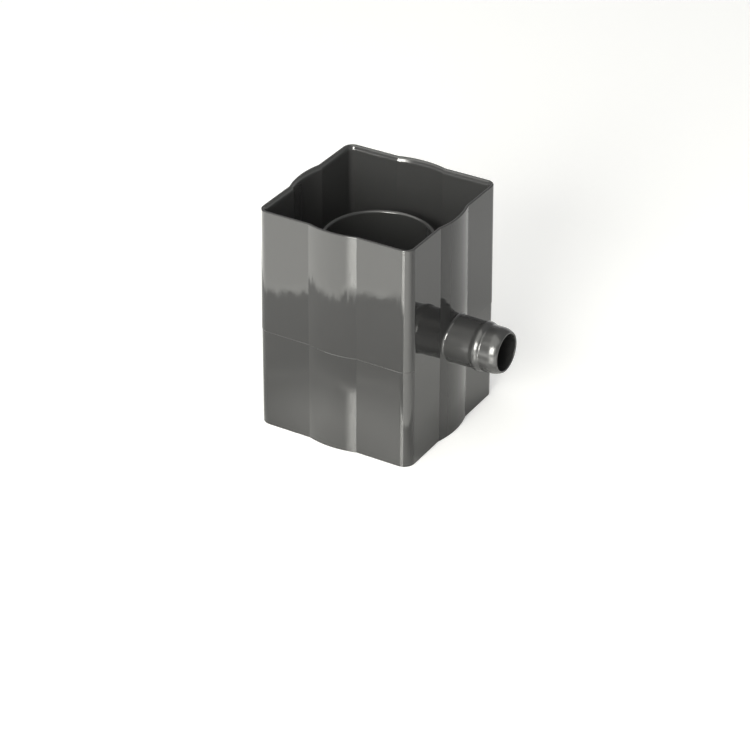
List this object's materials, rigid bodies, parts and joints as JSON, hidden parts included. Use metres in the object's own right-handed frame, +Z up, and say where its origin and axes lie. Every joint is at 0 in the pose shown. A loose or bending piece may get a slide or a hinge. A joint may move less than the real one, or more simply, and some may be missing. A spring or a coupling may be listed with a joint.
{
  "type": "rainwater diverter",
  "caption": "Moulded downpipe diverter with a square and round socket, an inner weir tube over a water trough, and a barbed side spigot for a hose.",
  "frame": {"origin": "on the downpipe's axis, in the plane of the skirt's lower rim", "axes": "+Z up the downpipe, towards the upper socket; +X along the hose spigot, away from the body"},
  "size_m": [0.0971, 0.0746, 0.0985],
  "materials": {
    "body": "glossy anthracite grey moulded plastic, polished by the mould"
  },
  "bodies": {
    "root": {"diverter_body": "body"}
  },
  "joints": []
}
